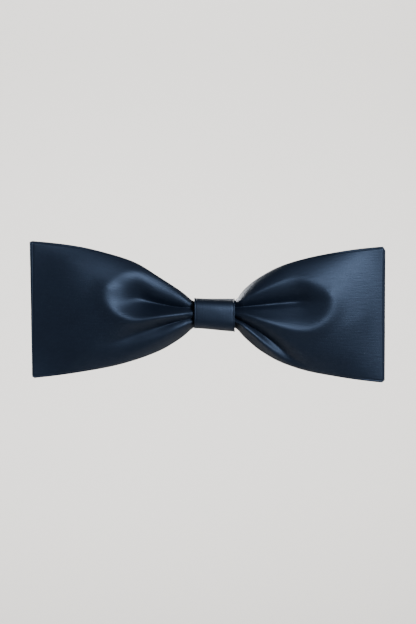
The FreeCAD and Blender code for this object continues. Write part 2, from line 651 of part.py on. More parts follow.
def make_catch_leg(name, side):
    """One leg of the catch: out round the finger bend, in again, and up through the window."""
    body = new_body(name)
    sketch = new_sketch(body, "YZ_Plane", f"{name}_side", out="Sizes.catch_reach")
    foot = f"({TAB_BACK} + Sizes.leg_gap)"
    roof = f"({ARM_FRONT} + Sizes.arm_bow - Sizes.head_gap)"
    middle = f"(({foot} + {roof}) / 2)"
    barb = "(Sizes.window_height / 2 - Sizes.barb_play)"
    neck = f"({barb} - Sizes.barb_step)"
    inner = f"({neck} - Sizes.leg_thick)"
    ledge = f"({ARM_BACK} + Sizes.arm_bow + Sizes.barb_lift)"
    top = f"({ledge} + Sizes.barb_length)"
    bend = "Sizes.leg_bend"
    points = [
        (foot, "Sizes.leg_root"), (foot, bend, middle, bend, -1), (roof, bend), (roof, neck),
        (ledge, neck), (ledge, barb), (top, f"({neck} - Sizes.leg_thick / 4)"), (top, inner),
        (f"({roof} - Sizes.leg_thick)", inner),
        (f"({roof} - Sizes.leg_thick)", bend, middle, bend, 1),
        (f"({foot} + Sizes.leg_thick)", bend), (f"({foot} + Sizes.leg_thick)", "Sizes.leg_root"),
    ]
    if side < 0:
        flipped = []
        for point in points:
            arc = (point[2], f"(-{point[3]})", -point[4]) if len(point) > 2 else ()
            flipped.append((point[0], f"(-{point[1]})") + arc)
        points = flipped
    outline(sketch, points)
    pad(body, sketch, "Sizes.leg_width", f"{name}_pad")


def build():
    fill_sheet()
    satin = "Sizes.satin_thick"
    under = "(Sizes.satin_thick + Sizes.ply_gap)"
    lining = "(Sizes.satin_thick + Sizes.ply_gap + Sizes.interfacing_thick)"
    make_ply("front_panel", -1, "0", satin)
    make_ply("back_panel", 1, "0", satin)
    make_ply("front_interfacing", -1, under, lining)
    make_ply("back_interfacing", 1, under, lining)
    make_batting("left_batting", -1)
    make_batting("right_batting", 1)
    make_gathering_thread()
    make_knot_lining()
    make_knot_band()
    make_band_stitches()
    make_felt_backing()
    make_tacking("left_tacking", -1)
    make_tacking("right_tacking", 1)
    make_base_plate()
    make_tension_bar()
    make_clasp_arm()
    make_hinge_pin()
    make_catch_saddle()
    make_catch_rivet()
    make_catch_leg("upper_catch_leg", 1)
    make_catch_leg("lower_catch_leg", -1)


def check_and_write():
    doc.recompute()
    for thing in doc.Objects:
        if {"Invalid", "Error"} & set(thing.State):
            raise RuntimeError(f"{thing.Name} failed: {thing.State}")
    for piece in pieces:
        if piece.Shape.isNull() or not piece.Shape.isValid() or not piece.Shape.Solids:
            raise RuntimeError(f"{piece.Label} has no valid solid")
    os.makedirs("parts", exist_ok=True)
    for piece in pieces:
        piece.Shape.exportStep(os.path.join("parts", f"{piece.Label}.step"))
        box = piece.Shape.BoundBox
        print(f"{piece.Label}: {piece.Shape.Volume:.1f} mm3, {len(piece.Shape.Solids)} solids, "
              f"x {box.XMin:.1f} {box.XMax:.1f}  y {box.YMin:.2f} {box.YMax:.2f}  "
              f"z {box.ZMin:.1f} {box.ZMax:.1f}")


build()
check_and_write()
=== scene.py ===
import bpy
import math
import numpy as np
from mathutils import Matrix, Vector


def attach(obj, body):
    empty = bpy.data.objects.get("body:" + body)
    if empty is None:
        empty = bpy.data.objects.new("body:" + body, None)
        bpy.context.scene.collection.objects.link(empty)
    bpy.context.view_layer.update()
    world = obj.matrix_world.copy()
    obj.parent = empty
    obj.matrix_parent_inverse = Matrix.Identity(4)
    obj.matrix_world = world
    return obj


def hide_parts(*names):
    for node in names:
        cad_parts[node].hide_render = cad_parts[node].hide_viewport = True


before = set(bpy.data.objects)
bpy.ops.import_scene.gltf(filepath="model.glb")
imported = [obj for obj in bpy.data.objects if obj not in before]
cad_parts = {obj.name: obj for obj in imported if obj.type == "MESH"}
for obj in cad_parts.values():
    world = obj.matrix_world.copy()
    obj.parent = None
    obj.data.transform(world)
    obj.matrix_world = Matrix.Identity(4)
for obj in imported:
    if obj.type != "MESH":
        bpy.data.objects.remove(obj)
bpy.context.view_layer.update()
mm = 0.001
print("frame loaded:", len(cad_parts), "nodes")


def softTable(table, at, blur=1.5):
    # a smooth curve through (place, size) pairs that never overshoots them, averaged over three
    # places a blur apart
    x, y = (np.array(column, float) for column in zip(*table))
    gap = np.diff(x)
    slope = np.diff(y) / gap
    tangent = np.concatenate([slope[:1], np.zeros(len(x) - 2), slope[-1:]])
    same = slope[:-1] * slope[1:] > 0
    tangent[1:-1][same] = 2 * slope[:-1][same] * slope[1:][same] / (slope[:-1] + slope[1:])[same]
    total = 0
    for step in (-blur, 0, blur):
        place = np.clip(np.asarray(at, float) + step, x[0], x[-1])
        k = np.clip(np.searchsorted(x, place, "right") - 1, 0, len(x) - 2)
        t = (place - x[k]) / gap[k]
        bend = tangent[k] * t * (1 - t) ** 2 - tangent[k + 1] * t * t * (1 - t)
        total = total + (y[k] * (1 + 2 * t) * (1 - t) ** 2 + y[k + 1] * t * t * (3 - 2 * t)
                         + gap[k] * bend)
    return total / 3


def smoothStep(low, high, at):
    t = np.clip((np.asarray(at, float) - low) / (high - low), 0, 1)
    return t * t * (3 - 2 * t)


def meshPiece(name, points, faces):
    # points are in millimetres
    mesh = bpy.data.meshes.new(name)
    mesh.from_pydata([tuple(p) for p in np.asarray(points, float) * mm], [], faces)
    mesh.update()
    mesh.shade_smooth()
    piece = bpy.data.objects.new(name, mesh)
    bpy.context.scene.collection.objects.link(piece)
    return piece


def gridFaces(rows, columns, start=0, flip=False):
    # quads over a rows by columns lattice of points
    faces = []
    for i in range(rows - 1):
        for j in range(columns - 1):
            a = start + i * columns + j
            b = a + columns
            quad = (a, b, b + 1, a + 1)
            faces.append(quad[::-1] if flip else quad)
    return faces


def gridNormals(points):
    alongRows = np.gradient(points, axis=0)
    alongColumns = np.gradient(points, axis=1)
    normal = np.cross(alongRows, alongColumns)
    return normal / np.maximum(np.linalg.norm(normal, axis=2, keepdims=True), 1e-9)


def cubicResample(points, rowAt, columnAt):
    # Catmull-Rom interpolation of a lattice at fractional rows and columns
    def along(values, at):
        count = values.shape[0]
        base = np.clip(np.floor(at).astype(int), 0, count - 2)
        t = (at - base)[:, None, None]
        p0 = values[np.maximum(base - 1, 0)]
        p1, p2 = values[base], values[base + 1]
        p3 = values[np.minimum(base + 2, count - 1)]
        return 0.5 * (2 * p1 + (p2 - p0) * t + (2 * p0 - 5 * p1 + 4 * p2 - p3) * t ** 2
                      + (3 * p1 - p0 - 3 * p2 + p3) * t ** 3)
    rows = along(points, np.asarray(rowAt, float))
    return along(rows.transpose(1, 0, 2), np.asarray(columnAt, float)).transpose(1, 0, 2)


def shellPiece(name, outside, thickness, inside=None):
    # a closed cloth: the lattice, the same lattice pushed inwards, and a rim all round
    rows, columns = outside.shape[:2]
    if inside is None:
        inside = outside - gridNormals(outside) * thickness
    points = np.concatenate([outside.reshape(-1, 3), inside.reshape(-1, 3)])
    count = rows * columns
    faces = gridFaces(rows, columns) + gridFaces(rows, columns, count, flip=True)
    border = [i * columns for i in range(rows)]
    border += [(rows - 1) * columns + j for j in range(1, columns)]
    border += [i * columns + columns - 1 for i in range(rows - 2, -1, -1)]
    border += [j for j in range(columns - 2, 0, -1)]
    for a, b in zip(border, border[1:] + border[:1]):
        faces.append((b, a, a + count, b + count))
    return meshPiece(name, points, faces)


class Wire:
    # a node's output that can be used in sums
    def __init__(self, maker, socket):
        self.maker = maker
        self.socket = socket

    def combine(self, operation, first, second):
        return self.maker.add("ShaderNodeMath", {"operation": operation}, {0: first, 1: second})

    def __add__(self, other):
        return self.combine("ADD", self, other)

    def __radd__(self, other):
        return self.combine("ADD", other, self)

    def __sub__(self, other):
        return self.combine("SUBTRACT", self, other)

    def __mul__(self, other):
        return self.combine("MULTIPLY", self, other)

    def __rmul__(self, other):
        return self.combine("MULTIPLY", other, self)

    def __truediv__(self, other):
        return self.combine("DIVIDE", self, other)

    def __pow__(self, other):
        return self.combine("POWER", self, other)


class Maker:
    # adds nodes to a tree: kind of node, its settings, then its sockets
    def add(self, kind, settings=None, sockets=None, output=0):
        node = self.nodes.new(kind)
        for setting, value in (settings or {}).items():
            if setting == "stops":
                ramp = node.color_ramp
                while len(ramp.elements) < len(value):
                    ramp.elements.new(0.5)
                for element, (place, shade) in zip(ramp.elements, value):
                    element.position = place
                    element.color = (*shade, 1)
            else:
                setattr(node, setting, value)
        for socket, value in (sockets or {}).items():
            for single in (value if isinstance(value, list) else [value]):
                if isinstance(single, Wire):
                    self.links.new(single.socket, node.inputs[socket])
                else:
                    node.inputs[socket].default_value = single
        return Wire(self, node.outputs[output])


class Finish(Maker):
    # a material and the nodes it is made of
    def __init__(self, name, **shaderValues):
        self.material = bpy.data.materials.new(name)
        self.material.use_nodes = True
        self.nodes = self.material.node_tree.nodes
        self.links = self.material.node_tree.links
        self.shader = self.nodes["Principled BSDF"]
        for socket, value in shaderValues.items():
            self.shader.inputs[socket.replace("_", " ")].default_value = value

    def objectPlace(self, scale=(1, 1, 1), turn=(0, 0, 0)):
        place = self.add("ShaderNodeTexCoord", output=3)
        return self.add("ShaderNodeMapping", {},
                        {"Vector": place, "Scale": scale, "Rotation": turn})

    def clothPlace(self, scale=(1, 1, 1), turn=(0, 0, 0)):
        place = self.add("ShaderNodeUVMap", {"uv_map": "clothMap"})
        return self.add("ShaderNodeMapping", {},
                        {"Vector": place, "Scale": scale, "Rotation": turn})

    def noise(self, place, scale, detail=3.0, roughness=0.5):
        return self.add("ShaderNodeTexNoise", {}, {"Vector": place, "Scale": scale,
                                                   "Detail": detail, "Roughness": roughness})

    def wave(self, place, scale, direction, distortion):
        return self.add("ShaderNodeTexWave", {"bands_direction": direction},
                        {"Vector": place, "Scale": scale, "Distortion": distortion}, output=1)

    def mixColor(self, factor, first, second):
        return self.add("ShaderNodeMix", {"data_type": "RGBA"},
                        {"Factor": factor, 6: first, 7: second}, output=2)

    def bump(self, height, strength, distance, under=None):
        sockets = {"Height": height, "Strength": strength, "Distance": distance}
        if under is not None:
            sockets["Normal"] = under
        return self.add("ShaderNodeBump", {}, sockets)

    def feed(self, socket, wire):
        self.links.new(wire.socket, self.shader.inputs[socket])


class Growth(Maker):
    # a geometry node tree with named inputs for its sizes
    def __init__(self, name, **sizes):
        self.group = bpy.data.node_groups.new(name, "GeometryNodeTree")
        self.nodes, self.links = self.group.nodes, self.group.links
        self.group.interface.new_socket("Geometry", in_out="OUTPUT",
                                        socket_type="NodeSocketGeometry")
        for label, size in sizes.items():
            kind = {int: "Int", float: "Float", tuple: "Vector"}[type(size)]
            socket = self.group.interface.new_socket(label, in_out="INPUT",
                                                     socket_type="NodeSocket" + kind)
            socket.default_value = size
        self.start = self.nodes.new("NodeGroupInput")
        self.end = self.nodes.new("NodeGroupOutput")

    def size(self, label):
        return Wire(self, self.start.outputs[label])

    def vector(self, x=0.0, y=0.0, z=0.0):
        return self.add("ShaderNodeCombineXYZ", {}, {"X": x, "Y": y, "Z": z})

    def tube(self, curve, radius, sides=8):
        ring = self.add("GeometryNodeCurvePrimitiveCircle", {},
                        {"Resolution": sides, "Radius": radius})
        return self.add("GeometryNodeCurveToMesh", {},
                        {"Curve": curve, "Profile Curve": ring, "Fill Caps": True})

    def placed(self, geometry, move=(0, 0, 0), turn=(0, 0, 0), scale=(1, 1, 1)):
        return self.add("GeometryNodeTransform", {}, {"Geometry": geometry, "Translation": move,
                                                      "Rotation": turn, "Scale": scale})

    def grow(self, geometry, name, material, **sizes):
        whole = self.add("GeometryNodeRealizeInstances", {}, {"Geometry": geometry})
        whole = self.add("GeometryNodeSetShadeSmooth", {}, {"Geometry": whole})
        whole = self.add("GeometryNodeSetMaterial", {}, {"Geometry": whole, "Material": material})
        self.links.new(whole.socket, self.end.inputs[0])
        holder = bpy.data.objects.new(name + "Maker", bpy.data.meshes.new(name + "Maker"))
        bpy.context.scene.collection.objects.link(holder)
        modifier = holder.modifiers.new("grow", "NODES")
        modifier.node_group = self.group
        for item in self.group.interface.items_tree:
            if item.item_type == "SOCKET" and item.in_out == "INPUT" and item.name in sizes:
                modifier[item.identifier] = sizes[item.name]
        shown = bpy.context.evaluated_depsgraph_get()
        mesh = bpy.data.meshes.new_from_object(holder.evaluated_get(shown), depsgraph=shown)
        mesh.name = name
        piece = bpy.data.objects.new(name, mesh)
        bpy.context.scene.collection.objects.link(piece)
        holder.modifiers.remove(modifier)
        bpy.data.objects.remove(holder)
        return piece


satinSettings = {
    "deep": (0.0007, 0.0014, 0.0035, 1),
    "light": (0.0015, 0.0030, 0.0072, 1),
    "gloss": (0.44, 0.62, 1.0, 1),
    "shine": 0.36,
    "roughness": 0.50,
    "edgeRoughness": 0.45,
    "threadsPerMm": 4.5,
    "threadHeight": 0.00002,    # metres, as are the two below
    "slubHeight": 0.00018,
    "grainHeight": 0.00013,
}


def makeSatin():
    s = satinSettings
    finish = Finish("navySatin", Specular_IOR_Level=s["shine"], Specular_Tint=s["gloss"])
    cloth = finish.clothPlace()
    cloud = finish.noise(cloth, 0.35, 4.0, 0.55)
    slub = finish.noise(finish.clothPlace(scale=(0.25, 3.0, 1)), 4.0, 3.0, 0.6)
    grain = finish.noise(finish.clothPlace(scale=(1.0, 1.6, 1), turn=(0, 0, 0.5)), 13, 2.0, 0.55)
    warp = finish.wave(cloth, s["threadsPerMm"] * 5, "X", 0.4)
    weft = finish.wave(cloth, s["threadsPerMm"], "DIAGONAL", 1.0)
    finish.feed("Base Color", finish.mixColor(cloud * 0.6 + slub * 0.4, s["deep"], s["light"]))
    # seen edge-on the fibres scatter more, so the shine fades there
    edgeOn = finish.add("ShaderNodeLayerWeight", {}, {"Blend": 0.5}, output=1)
    finish.feed("Roughness", s["roughness"] + (cloud - 0.5) * 0.12 + (slub - 0.5) * 0.12
                + (grain - 0.5) * 0.20 + s["edgeRoughness"] * edgeOn ** 5)
    threads = finish.bump(warp * 0.7 + weft * 0.3, 0.5, s["threadHeight"])
    threads = finish.bump(grain, 0.5, s["grainHeight"], threads)
    finish.feed("Normal", finish.bump(slub, 0.5, s["slubHeight"], threads))
    return finish.material


# the bow's two panels, in millimetres
bow = {
    "middle": -17.7,        # the seam's plane, in Y
    "bandHalf": 12.5,       # half the knot band's width
    "reach": {-1: 114.0, 1: 106.0},
    "lean": {-1: 1.5, 1: 0.3},          # how much further out the end's top stands
    "cornerRound": {-1: 1.6, 1: 2.6},
    "cloth": 0.5,           # thickness of the satin with its bonded stiffener
    "seamRoll": 0.85,       # half thickness of the rolled edge
    "seamInset": 1.25,      # from the edge to the line beside the roll
    "swellLength": 101.5,   # the loop length that the swell tables are written for
    "fadeDepth": 5.0,       # where the padding is thinner than this the folds fade out
    "mostPast": 2.5,        # how far a fold may go past the seam's plane
    "seamLine": (0.40, 0.28),           # depth and half width of the line beside the roll
    "stepAlong": 1.05,      # spacing of the mesh
    "stepAcross": 0.95,
    "meanHeight": 80,
    "cutHeight": 86,        # height of the cut cloth, for its map
}

topEdge = {
    -1: [(-16, 6.4), (-6, 6.4), (0, 8.0), (9.5, 14.9), (21.8, 23.0), (37.2, 32.4), (52.5, 37.6),
         (72.5, 42.4), (90, 44.7), (102, 45.7), (110, 46.2)],
    1: [(-16, 6.4), (-6, 6.4), (0, 8.4), (6.9, 16.0), (14.6, 22.3), (30, 30.4), (45.3, 35.0),
        (60.7, 38.2), (78, 40.8), (94, 42.2), (104, 42.6)],
}
bottomEdge = {
    -1: [(-16, -6.4), (-6, -6.4), (0, -8.2), (9.5, -15.2), (21.8, -22.6), (40.2, -29.4),
         (52.5, -32.6), (72.5, -36.2), (90, -38.6), (102, -39.8), (110, -40.4)],
    1: [(-16, -6.4), (-6, -6.4), (0, -8.2), (8, -15.6), (15, -21.6), (23.8, -27.2), (30, -30.2),
        (45, -35.2), (60, -38.2), (78, -41.0), (94, -42.6), (104, -43.0)],
}
# how far the padded panel stands from the seam's plane, at the middle of its height
swell = {
    "front": [(-16, 6.2), (-5, 6.2), (0, 7.9), (8, 11.0), (20, 12.6), (35, 12.8), (50, 11.8),
              (65, 9.6), (80, 6.2), (92, 2.6), (102, 0.5), (110, 0.2)],
    "back": [(-16, 6.2), (-5, 6.2), (0, 7.4), (8, 9.6), (20, 11.6), (35, 12.2), (50, 11.4),
             (65, 9.2), (80, 6.0), (92, 2.5), (102, 0.5), (110, 0.2)],
}

# A fold's run gives, from the knot outwards: distance, height, half width above, half width
# below, and depth, where a negative depth is a ridge. A fold with an end closes there like the
# bowl of a spoon, and its lip is the soft roll round the bowl's lower side and end.
frontFolds = {
    -1: [
        {"run": [(-14, 2.6, 1.6, 1.5, 2.0), (0, 3.9, 2.0, 2.4, 2.4), (7, 3.9, 6.4, 3.2, 6.2),
                 (16, 4.8, 12.4, 5.0, 10.0), (26, 6.6, 16.4, 8.2, 12.6), (36, 8.9, 17.6, 12.0, 13.2),
                 (48, 11.2, 16.0, 14.0, 12.4), (64, 12.2, 14.5, 14.5, 11.0)],
         "end": (32, 22.5), "sharp": 1.45, "sharpAbove": 1.15, "lip": 1.1},
        {"run": [(-14, -1.4, 1.5, 1.6, 1.8), (0, -2.1, 1.9, 2.2, 2.5), (10, -3.9, 3.2, 4.2, 3.6),
                 (22, -7.4, 5.4, 8.0, 4.8), (37, -12.0, 8.0, 11.0, 4.8), (50, -16.4, 10.0, 13.0, 2.4),
                 (64, -19.0, 12.0, 14.0, 0.0)], "sharp": 1.4},
        {"run": [(48, 24.0, 12, 14, 0.0), (64, 28.0, 14, 20, -0.4), (80, 34.0, 16, 24, -0.8),
                 (98, 42.0, 16, 24, -0.1)], "sharp": 2.2},
        {"run": [(50, 6.0, 16, 18, 0.0), (66, -2.0, 22, 22, 0.9), (82, -10.0, 26, 24, 0.8),
                 (100, -16.0, 26, 24, 0.0)], "sharp": 2.2},
    ],
    1: [
        {"run": [(-14, 3.0, 1.6, 1.4, 1.8), (0, 4.3, 2.2, 2.4, 3.0), (6, 4.7, 4.8, 4.0, 5.4),
                 (15, 5.6, 8.2, 7.8, 8.4), (26, 6.4, 12.2, 12.2, 11.0), (38, 6.8, 15.4, 15.8, 12.2),
                 (50, 6.8, 15.6, 16.6, 12.0), (66, 6.4, 15.0, 16.0, 11.0)],
         "end": (39, 21.0), "sharp": 1.5, "sharpAbove": 1.2, "lip": 1.1},
        {"run": [(6, 3.0, 2.0, 2.0, 0.0), (14, 3.0, 2.8, 3.6, -0.8), (26, 3.6, 3.6, 5.0, -1.2),
                 (38, 4.2, 4.4, 6.0, -1.0), (48, 4.6, 5.0, 6.0, -0.3), (60, 5.0, 5.0, 6.0, 0.0)],
         "sharp": 1.7},
        {"run": [(-14, -1.2, 1.5, 1.5, 1.6), (0, -1.8, 1.8, 1.9, 2.4), (8, -5.6, 3.0, 3.0, 3.6),
                 (18, -12.4, 5.4, 4.8, 4.6), (28, -20.0, 7.6, 6.0, 4.2), (36, -26.6, 8.0, 7.0, 2.4),
                 (46, -32.0, 8.0, 7.0, 0.2)], "sharp": 1.4},
        {"run": [(-14, -3.4, 1.3, 1.3, -0.4), (0, -4.2, 1.6, 1.8, -0.7), (8, -9.4, 2.6, 2.8, -1.1),
                 (18, -18.0, 3.8, 4.2, -1.3), (27, -26.0, 4.4, 4.4, -0.8), (36, -31.0, 4.0, 4.0, 0.0)],
         "sharp": 1.7},
        {"run": [(48, -12.0, 14, 16, 0.0), (64, -8.0, 20, 20, -0.35), (80, -2.0, 24, 24, -0.5),
                 (98, 6.0, 26, 24, -0.1)], "sharp": 2.2},
    ],
}
backFolds = {
    -1: [
        {"run": [(-14, 3.2, 1.2, 1.2, 1.6), (0, 4.2, 1.7, 1.6, 2.2), (9, 7.0, 3.6, 3.0, 2.8),
                 (22, 11.4, 6.4, 5.4, 3.2), (40, 16.0, 9.0, 8.0, 2.4), (60, 19.0, 10, 9, 0.2)],
         "sharp": 1.7},
        {"run": [(-14, -2.8, 1.2, 1.2, 1.6), (0, -3.8, 1.6, 1.7, 2.2), (9, -6.6, 2.8, 3.6, 2.7),
                 (24, -11.0, 5.0, 6.6, 3.0), (44, -15.8, 7.6, 9.4, 1.8), (62, -18, 9, 10, 0.1)],
         "sharp": 1.7},
    ],
    1: [
        {"run": [(-14, 3.0, 1.2, 1.2, 1.6), (0, 4.0, 1.7, 1.6, 2.2), (9, 6.8, 3.6, 2.8, 2.8),
                 (24, 11.0, 6.6, 5.0, 3.1), (42, 15.4, 9.2, 7.8, 2.2), (60, 18, 10, 9, 0.2)],
         "sharp": 1.7},
        {"run": [(-14, -3.0, 1.2, 1.2, 1.6), (0, -4.0, 1.6, 1.7, 2.2), (9, -7.4, 2.8, 3.6, 2.7),
                 (22, -12.6, 4.8, 6.4, 3.1), (38, -17.2, 7.2, 9.0, 2.1), (56, -20, 9, 10, 0.1)],
         "sharp": 1.7},
    ],
}


def foldDepth(fold, distance, height):
    places = [p[0] for p in fold["run"]]
    centre, up, down, depth = [softTable(list(zip(places, [p[k] for p in fold["run"]])),
                                         distance, 3.0) for k in (1, 2, 3, 4)]
    t = np.where(height > centre, (height - centre) / up, (centre - height) / down)
    beyond = np.zeros_like(distance)
    if "end" in fold:
        first, length = fold["end"]
        beyond = (distance - first) / length
        beyond = 0.5 * (beyond + np.sqrt(beyond ** 2 + 0.06))
    soft = 0.003 + 0.016 * smoothStep(6, 34, distance)
    t = np.sqrt(t ** 2 + beyond ** 2 + soft)
    # a wall that is steep at the crease and rolls over softly at the rim
    wall = 1.08 - t
    wall = 0.5 * (wall + np.sqrt(wall ** 2 + 0.006))
    sharp = np.where(height > centre, fold.get("sharpAbove", fold["sharp"]), fold["sharp"])
    sharp = sharp + (fold["sharp"] - sharp) * smoothStep(0, 0.5, beyond)
    result = depth * np.minimum(wall, 1) ** sharp
    if "lip" in fold:
        lower = smoothStep(-0.15, 0.5, (centre - height) / down + 0.8 * beyond)
        grown = smoothStep(-4, 22, distance)
        result -= fold["lip"] * np.exp(-((t - 1.05) / 0.3) ** 2) * lower * grown
    return result


def panelLattice(face, along, across):
    # one panel's points, in millimetres: along is X, and across runs from 0, top, to 1, bottom
    points = np.zeros((len(along), len(across), 3))
    facing = -1 if face == "front" else 1
    folds = frontFolds if face == "front" else backFolds
    for i, x in enumerate(along):
        s = -1 if x < 0 else 1
        d = abs(x) - bow["bandHalf"]
        length = bow["reach"][s] - bow["bandHalf"]
        top = float(softTable(topEdge[s], d))
        bottom = float(softTable(bottomEdge[s], d))
        r = bow["cornerRound"][s]
        past = min(max(d - (length - r), 0) / r, 1)
        rounding = r * (1 - math.sqrt(max(1 - past ** 2, 0)))
        top, bottom = top - rounding * (1 if s > 0 else 0.6), bottom + rounding * 0.6
        height = top + (bottom - top) * across
        v = np.abs(2 * across - 1)
        # both loops close at their ends, the shorter one by reading the swell further out
        beyond = (bow["swellLength"] - length) * float(smoothStep(30, length, d))
        closing = (1 - min(max(d / length, 0), 1) ** 20) ** 0.7
        depth = float(softTable(swell[face], d + beyond, 6.0)) * closing
        full = depth * (1 - v ** 2.3) ** 0.8
        distance = np.full_like(height, d)
        dip = sum(foldDepth(fold, distance, height) for fold in folds[s])
        # folds fade out towards the seams, and go only a little past the seam's plane
        fade = smoothStep(0, bow["fadeDepth"], full)
        dip *= fade
        lowest = -bow["mostPast"] * fade
        lean = bow["lean"][s] * (1 - 2 * across) / 2 * max(d / length, 0) ** 3
        points[i, :, 0] = x + s * lean
        points[i, :, 1] = bow["middle"] + facing * np.maximum(full - dip, lowest)
        points[i, :, 2] = height
    return points


simSettings = {
    "rows": 150, "columns": 60, "frames": 16,
    "pressure": 8.0,        # the wadding's push on the cloth
    "spare": 0.13,          # share of extra cloth across, near the knot
    "spareReach": 30,       # how far out that extra cloth reaches
    "spareEnd": 0.02,       # the same share at the loops' ends
    "spareAlong": 0.006,
    "heldDepth": 2.5,       # how far inside the knot band the cloth starts to be held
    "mostMove": 2.0,        # how far the solver may move a point, in millimetres
    "leastMove": 0.05,      # a solver that moves less than this has failed
    "evening": 14,          # passes that even out the movement from cell to cell
}


def relaxPanel(face):
    # lets the wadding push the cloth out, with more cloth near the knot than there is room for
    s = simSettings
    along = np.linspace(-bow["reach"][-1], bow["reach"][1], s["rows"])
    across = np.linspace(0, 1, s["columns"])
    start = panelLattice(face, along, across)
    cut = start.copy()
    d = np.abs(start[:, :, 0]) - bow["bandHalf"]
    cut[:, :, 2] *= 1 + s["spareEnd"] + s["spare"] * np.exp(-np.maximum(d, 0) / s["spareReach"])
    cut[:, :, 0] *= 1 + s["spareAlong"]
    mesh = bpy.data.meshes.new("cloth")
    mesh.from_pydata((start * mm).reshape(-1, 3).tolist(), [], gridFaces(*start.shape[:2]))
    cloth = bpy.data.objects.new("cloth", mesh)
    bpy.context.scene.collection.objects.link(cloth)
    cloth.shape_key_add(name="start")
    rest = cloth.shape_key_add(name="cut")
    rest.data.foreach_set("co", (cut * mm).ravel())
    # the seams and the part under the knot band stay where they are
    fixed = d < -s["heldDepth"]
    fixed[0, :] = fixed[-1, :] = fixed[:, 0] = fixed[:, -1] = True
    held = cloth.vertex_groups.new(name="held")
    held.add(np.flatnonzero(fixed).tolist(), 1.0, "REPLACE")
    cloth.modifiers.new("cloth", "CLOTH")
    settings = cloth.modifiers["cloth"].settings
    settings.quality = 6
    settings.mass = 0.15
    settings.tension_stiffness = 20
    settings.compression_stiffness = 20
    settings.shear_stiffness = 8
    settings.bending_stiffness = 1.2
    settings.air_damping = 2
    settings.use_pressure = True
    settings.uniform_pressure_force = s["pressure"] * (-1 if face == "front" else 1)
    settings.vertex_group_mass = "held"
    settings.rest_shape_key = rest
    settings.effector_weights.gravity = 0
    cloth.modifiers["cloth"].point_cache.frame_end = s["frames"]
    scene = bpy.context.scene
    for number in range(1, s["frames"] + 1):
        scene.frame_set(number)
    settled = cloth.evaluated_get(bpy.context.evaluated_depsgraph_get()).to_mesh()
    places = np.zeros(len(settled.vertices) * 3)
    settled.vertices.foreach_get("co", places)
    move = places.reshape(start.shape) / mm - start
    # the bonded stiffener evens out the small wrinkles
    for _ in range(s["evening"]):
        move[1:-1] = (move[:-2] + 2 * move[1:-1] + move[2:]) / 4
        move[:, 1:-1] = (move[:, :-2] + 2 * move[:, 1:-1] + move[:, 2:]) / 4
    move[fixed] = 0
    size = np.linalg.norm(move, axis=2, keepdims=True)
    if size.max() < s["leastMove"]:
        raise RuntimeError(f"the solver left the {face} cloth where it was")
    move *= s["mostMove"] * np.tanh(size / s["mostMove"]) / np.maximum(size, 1e-9)
    shift = np.linalg.norm(move, axis=2)
    print(f"{face} cloth settled: moved {shift.mean():.3f} mm on average,",
          f"{shift.max():.2f} at most")
    scene.frame_set(1)
    bpy.data.objects.remove(cloth)
    return start + move


def mapCloth(piece, u, v):
    # the cloth's own map, in centimetres of cut cloth, the same for both of its faces
    layer = piece.data.uv_layers.new(name="clothMap")
    flat = np.stack(np.meshgrid(u, v, indexing="ij"), axis=2).reshape(-1, 2)
    flat = np.concatenate([flat, flat])
    corners = np.zeros(len(piece.data.loops), int)
    piece.data.loops.foreach_get("vertex_index", corners)
    layer.data.foreach_set("uv", flat[corners].ravel())


seamSteps = (0, 0.25, 0.55, 0.85, 1.05, 1.25, 1.45, 1.75, 2.2, 2.8, 3.6)


def fineSteps(length, coarse, near=seamSteps):
    # places along a length, close together beside both seams
    middle = np.linspace(near[-1] + coarse, length - near[-1] - coarse,
                         max(int((length - 2 * near[-1]) / coarse), 2))
    return np.concatenate([near, middle, length - np.array(near[::-1])]) / length


def finishPanel(face, settled, name):
    rows, columns = settled.shape[:2]
    reach = bow["reach"][-1] + bow["reach"][1]
    rowAt = fineSteps(reach, bow["stepAlong"]) * (rows - 1)
    columnAt = fineSteps(bow["meanHeight"], bow["stepAcross"]) * (columns - 1)
    fine = cubicResample(settled, rowAt, columnAt)
    # distance of each point from the nearest seam
    up = np.linalg.norm(np.diff(fine, axis=1), axis=2)
    fromTop = np.concatenate([np.zeros((len(rowAt), 1)), np.cumsum(up, axis=1)], axis=1)
    fromBottom = fromTop[:, -1:] - fromTop
    fromEnd = np.minimum(fine[:, :, 0] + bow["reach"][-1], bow["reach"][1] - fine[:, :, 0])
    seam = np.minimum(np.minimum(fromTop, fromBottom), np.maximum(fromEnd, 0))
    normal = gridNormals(fine)
    facing = -1 if face == "front" else 1
    outward = np.where(normal[:, :, 1:2] * facing < 0, -normal, normal)
    roll = bow["seamRoll"] * np.sqrt(np.clip(1 - (1 - np.clip(seam, 0, 1)) ** 2, 0, 1))
    lineDepth, lineWidth = bow["seamLine"]
    line = lineDepth * np.exp(-((seam - bow["seamInset"]) / lineWidth) ** 2)
    atWaist = smoothStep(0, 6, np.abs(fine[:, :, 0]) - bow["bandHalf"])
    rise = (roll - line) * atWaist
    steady = outward * np.array([0.25, 1.0, 0.25])
    fine = fine + steady / np.linalg.norm(steady, axis=2, keepdims=True) * rise[:, :, None]
    if face == "front":
        fine = fine[:, ::-1]
    piece = shellPiece(name, fine, bow["cloth"])
    u = rowAt / (rows - 1) * reach / 10
    v = columnAt / (columns - 1) * bow["cutHeight"] / 10
    if face == "front":
        v = v[::-1]
    mapCloth(piece, u, v)
    return piece


satin = makeSatin()
frontSettled = relaxPanel("front")
backSettled = relaxPanel("back")
frontPanel = finishPanel("front", frontSettled, "frontPanel")
backPanel = finishPanel("back", backSettled, "backPanel")
for panel in (frontPanel, backPanel):
    panel.data.materials.append(satin)
    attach(panel, "bow")
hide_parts("front_panel", "front_interfacing")
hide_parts("back_panel", "back_interfacing")
print("panels made:", len(frontPanel.data.polygons), "faces each")

